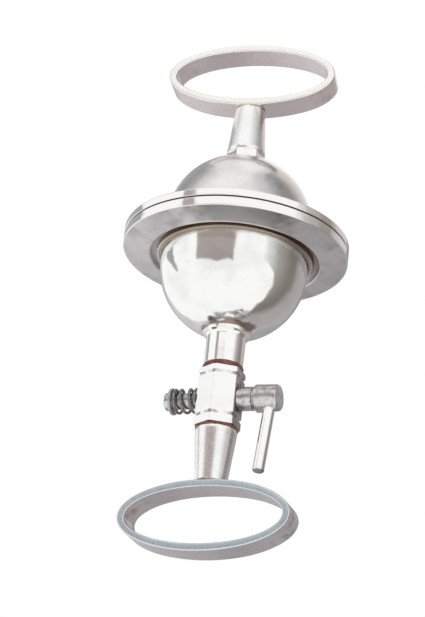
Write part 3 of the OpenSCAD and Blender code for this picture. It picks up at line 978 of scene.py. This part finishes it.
braze("lower_brazing", LOWER_LOOP_Z, 1, 0.0, "lower_handle", seed=4.0)
stem_collar()
neck()
washer("neck_washer", NECK_WASHER_R, SOCKET_R, BODY_TOP_Z, NECK_LOW_Z, "lower_hemisphere",
       FIBRE, ragged=0.7)
stopcock_body()
plug()
lever_rod()
plug_spring()
washer("spring_washer", SPRING_WASHER_R, SPRING_WASHER_BORE, -STUB_END + 0.02,
       -STUB_END + 0.02 + SPRING_WASHER_T, "stopcock_plug", WASHER,
       place=to_plug, shift=tilted)
plug_screw()
washer("handle_washer", HANDLE_WASHER_HIGH.x, SOCKET_R, CONE_TOP_Z, BODY_BOTTOM_Z, "thread_washer",
       FIBRE, ragged=0.3)
frame["nodes"]["stem_stud"].data.materials.clear()
frame["nodes"]["stem_stud"].data.materials.append(DARK)


# Studio in metres: camera, world, floor, lamps and the grey panels that the metal mirrors

CAMERA_AZIMUTH = math.radians(22.021)
CAMERA_ELEVATION = math.radians(-24.392)
CAMERA_ROLL = math.radians(6.343)
CAMERA_PLACE = Vector((0.37780, -0.95761, -0.50421))
CAMERA_STEP = 0.0004
CAMERA_LENS = 121.32
SENSOR_WIDTH = 36
PANEL_DISTANCE = 2.5
HIGH_PANEL_DISTANCE = 2.4
FLOOR_Z = -1.1
FLOOR_HALF = 4.0
FLOOR_FADE_MM = (600, 3600)
EVEN_SHADE = ((-90, 1.0), (90, 1.0))
NO_FOOT = ((0, -90), (1, -90))
NO_HEAD = ((0, 90), (1, 90))


def camera():
    """The photograph's camera, rolled, and a small step to the left of its fitted place."""
    data = bpy.data.cameras.new("camera")
    data.sensor_width = SENSOR_WIDTH
    data.lens = CAMERA_LENS
    data.clip_start = 0.05
    data.clip_end = 50
    holder = add_object("camera", data)
    az, el = CAMERA_AZIMUTH, CAMERA_ELEVATION
    back = Vector((math.sin(az) * math.cos(el), -math.cos(az) * math.cos(el), math.sin(el)))
    right = Vector((math.cos(az), math.sin(az), 0))
    up = back.cross(right)
    c, s = math.cos(CAMERA_ROLL), math.sin(CAMERA_ROLL)
    across = right * c + up * s
    rise = up * c - right * s
    place = CAMERA_PLACE - across * CAMERA_STEP
    holder.matrix_world = Matrix((
        (across.x, rise.x, back.x, place.x),
        (across.y, rise.y, back.y, place.y),
        (across.z, rise.z, back.z, place.z),
        (0, 0, 0, 1),
    ))
    bpy.context.scene.camera = holder


def around(turn, tilt, distance):
    """A place seen from the object's middle: turn to the camera's right, tilt up, both in degrees."""
    a, e = math.radians(turn), math.radians(tilt)
    towards = Vector((math.sin(CAMERA_AZIMUTH), -math.cos(CAMERA_AZIMUTH), 0))
    right = Vector((math.cos(CAMERA_AZIMUTH), math.sin(CAMERA_AZIMUTH), 0))
    flat = towards * math.cos(a) + right * math.sin(a)
    return (flat * math.cos(e) + Vector((0, 0, math.sin(e)))) * distance


def between(value, stops):
    """A value on the straight lines between stops, which are pairs of a place and a value or colour."""
    places = [stop[0] for stop in stops]
    values = np.array([stop[1] for stop in stops], float)
    if values.ndim == 1:
        return float(np.interp(value, places, values))
    return [float(np.interp(value, places, values[:, i])) for i in range(values.shape[1])]


def smooth(share):
    share = max(0.0, min(1.0, share))
    return share * share * (3 - 2 * share)


def fed(tree, kind, *outputs):
    """A new node of the tree whose first inputs are linked to the given outputs."""
    node = tree.nodes.new(kind)
    for socket, output in zip(node.inputs, outputs):
        tree.links.new(output, socket)
    return node


def panel_material(name):
    """Light of the colour that the mesh carries, let through where its alpha is low."""
    material = bpy.data.materials.new(name)
    material.use_nodes = True
    tree = material.node_tree
    tree.nodes.clear()
    tint = fed(tree, "ShaderNodeVertexColor")
    tint.layer_name = "tint"
    glow = fed(tree, "ShaderNodeEmission", tint.outputs["Color"])
    clear = fed(tree, "ShaderNodeBsdfTransparent")
    both = fed(tree, "ShaderNodeMixShader", tint.outputs["Alpha"], clear.outputs[0], glow.outputs[0])
    fed(tree, "ShaderNodeOutputMaterial", both.outputs[0])
    return material


def panel(name, left, right, low, high, tones, soft, shade=EVEN_SHADE, foot=NO_FOOT, head=NO_HEAD,
          distance=PANEL_DISTANCE):
    """A studio panel that only mirrors see, part of a large sphere about the object.

    left and right are stops of (tilt, turn), low and high are tilts, tones are stops of (turn, colour)
    and shade is stops of (tilt, factor), with all angles in degrees. The panel fades out over the angle
    soft at its edges, below its foot and above its head, which are stops of (turn, tilt)."""
    steps = 48
    verts, faces, tints = [], [], []
    for j in range(steps + 1):
        tilt = low + (high - low) * j / steps
        start, end = between(tilt, left), between(tilt, right)
        factor = between(tilt, shade)
        for i in range(steps + 1):
            turn = start + (end - start) * i / steps
            verts.append(around(turn, tilt, distance))
            edge = min(turn - start, end - turn, tilt - low, high - tilt,
                       tilt - between(turn, foot), between(turn, head) - tilt)
            tints.append((*[tone * factor for tone in between(turn, tones)], smooth(edge / soft)))
    for j in range(steps):
        for i in range(steps):
            k = j * (steps + 1) + i
            faces.append((k, k + 1, k + steps + 2, k + steps + 1))
    mesh = bpy.data.meshes.new(name)
    mesh.from_pydata(verts, [], faces)
    layer = mesh.color_attributes.new("tint", "FLOAT_COLOR", "POINT")
    layer.data.foreach_set("color", np.array(tints, dtype=np.float32).ravel())
    mesh.materials.append(panel_material(name))
    holder = add_object(name, mesh)
    holder.visible_camera = False
    holder.visible_diffuse = False
    holder.visible_transmission = False
    holder.visible_shadow = False


def lamp(name, turn, tilt, distance, size, power):
    """A round soft lamp that points at the object and isn't seen in mirrors."""
    data = bpy.data.lights.new(name, "AREA")
    data.shape = "DISK"
    data.size = size
    data.energy = power
    holder = add_object(name, data)
    holder.location = around(turn, tilt, distance)
    holder.rotation_euler = (-holder.location).to_track_quat("-Z", "Y").to_euler()
    holder.visible_glossy = False


def world():
    """White where the camera, mirrors and clear things look, and plain soft light elsewhere."""
    sky = bpy.data.worlds.new("studio")
    bpy.context.scene.world = sky
    sky.use_nodes = True
    tree = sky.node_tree
    tree.nodes.clear()
    path = fed(tree, "ShaderNodeLightPath")
    seen = fed(tree, "ShaderNodeMath", path.outputs["Is Camera Ray"], path.outputs["Is Glossy Ray"])
    seen.operation = "MAXIMUM"
    through = fed(tree, "ShaderNodeMath", seen.outputs[0], path.outputs["Is Transmission Ray"])
    through.operation = "MAXIMUM"
    light = fed(tree, "ShaderNodeBackground")
    light.inputs["Color"].default_value = colour(0.98, 0.985, 1.0)
    light.inputs["Strength"].default_value = 0.98
    white = fed(tree, "ShaderNodeBackground")
    white.inputs["Color"].default_value = colour(1, 1, 1)
    both = fed(tree, "ShaderNodeMixShader", through.outputs[0], light.outputs[0], white.outputs[0])
    fed(tree, "ShaderNodeOutputWorld", both.outputs[0])


def floor():
    """A pale floor far below, which fades out so that it shows no edge."""
    mesh = bpy.data.meshes.new("floor")
    signs = [(-1, -1), (1, -1), (1, 1), (-1, 1)]
    corners = [(x * FLOOR_HALF, y * FLOOR_HALF, FLOOR_Z) for x, y in signs]
    mesh.from_pydata(corners, [], [(0, 1, 2, 3)])
    holder = add_object("floor", mesh)
    g = Graph("pale_floor")
    pale = g.mix(g.noise(300.0), colour(0.90, 0.90, 0.90), colour(0.93, 0.93, 0.93))
    g.put(g.shader.inputs["Base Color"], pale)
    g.shader.inputs["Roughness"].default_value = 0.9
    g.put(g.shader.inputs["Alpha"], g.ramp(g.radius(), *FLOOR_FADE_MM, 1.0, 0.0))
    mesh.materials.append(g.material)
    holder.visible_glossy = False


def grey(tone):
    return (tone, tone, tone)


camera()
world()
floor()
lamp("key", turn=-55, tilt=35, distance=1.6, size=1.0, power=10)
lamp("fill", turn=40, tilt=10, distance=1.8, size=1.2, power=4)
panel(
    "photographer", left=[(-16, -63), (31, -63)], right=[(-16, -1), (31, -1)], low=-16, high=31,
    tones=[(-62, (0.43, 0.38, 0.37)), (-2, (0.40, 0.35, 0.345))], soft=2.5,
    foot=[(-63, -6), (-45, -10), (-30, -15), (-12, -11), (-4, -13), (-1, -15)],
    head=[(-62, 21), (-59, 31), (-50, 31), (-44, 20.5), (-1, 20.5)])
panel(
    "right_wall",
    left=[(-70, 118), (-66, 103), (-55, 86), (-39, 78), (-24, 73), (-10, 64), (3, 40), (18, 42),
          (27, 60)],
    right=[(-70, 152), (45, 152)], low=-70, high=45,
    tones=[(40, grey(0.92)), (52, (0.72, 0.72, 0.73)), (60, grey(0.56)), (69, (0.37, 0.35, 0.33)),
           (82, (0.29, 0.27, 0.25)), (92, (0.22, 0.205, 0.19)), (104, (0.22, 0.185, 0.172)),
           (118, (0.40, 0.37, 0.37)), (150, (0.44, 0.41, 0.43))],
    soft=4, shade=[(-70, 1.0), (19, 1.0), (25, 1.55), (45, 1.55)])
panel(
    "high_right", left=[(28, 0), (76, 0)], right=[(28, 165), (76, 165)], low=28, high=76,
    tones=[(0, grey(1.0)), (13, grey(0.94)), (27, (0.78, 0.78, 0.80)), (42, (0.64, 0.64, 0.66)),
           (57, (0.48, 0.48, 0.50)), (73, (0.30, 0.31, 0.33)), (91, (0.32, 0.30, 0.30)),
           (105, (0.44, 0.40, 0.38)), (116, (0.64, 0.58, 0.57)), (147, (0.80, 0.78, 0.78)),
           (165, grey(1.0))],
    soft=11, distance=HIGH_PANEL_DISTANCE)
panel(
    "high_left", left=[(30, -178), (68, -178)], right=[(30, -50), (68, -50)], low=30, high=68,
    tones=[(-178, grey(0.60)), (-163, (0.38, 0.37, 0.37)), (-141, (0.42, 0.43, 0.46)),
           (-126, (0.34, 0.33, 0.34)), (-99, (0.44, 0.44, 0.45)), (-91, grey(0.58)),
           (-78, (0.72, 0.72, 0.74)), (-61, grey(0.92)), (-50, grey(1.0))],
    soft=9, distance=HIGH_PANEL_DISTANCE)
panel(
    "back_wall", left=[(-75, 146), (60, 146)], right=[(-75, 212), (60, 212)], low=-75, high=32,
    tones=[(150, (0.42, 0.40, 0.41)), (172, (0.36, 0.345, 0.355)), (184, (0.48, 0.465, 0.475)),
           (195, (0.62, 0.60, 0.62)), (212, (0.66, 0.64, 0.66))],
    soft=4,
    shade=[(-75, 0.6), (-48, 0.70), (-36, 1.10), (-28, 1.15), (-20, 1.0), (6, 1.0), (16, 0.75),
           (90, 0.75)])
panel(
    "left_wall", left=[(-6, -101), (8, -114), (18, -128), (24, -152), (45, -152)],
    right=[(-6, -95), (14, -105), (26, -114), (45, -104)], low=-6, high=45,
    tones=[(-152, (0.46, 0.45, 0.47)), (-115, (0.36, 0.36, 0.38)), (-100, (0.38, 0.38, 0.40))], soft=3)
bpy.context.scene.view_settings.view_transform = "Standard"
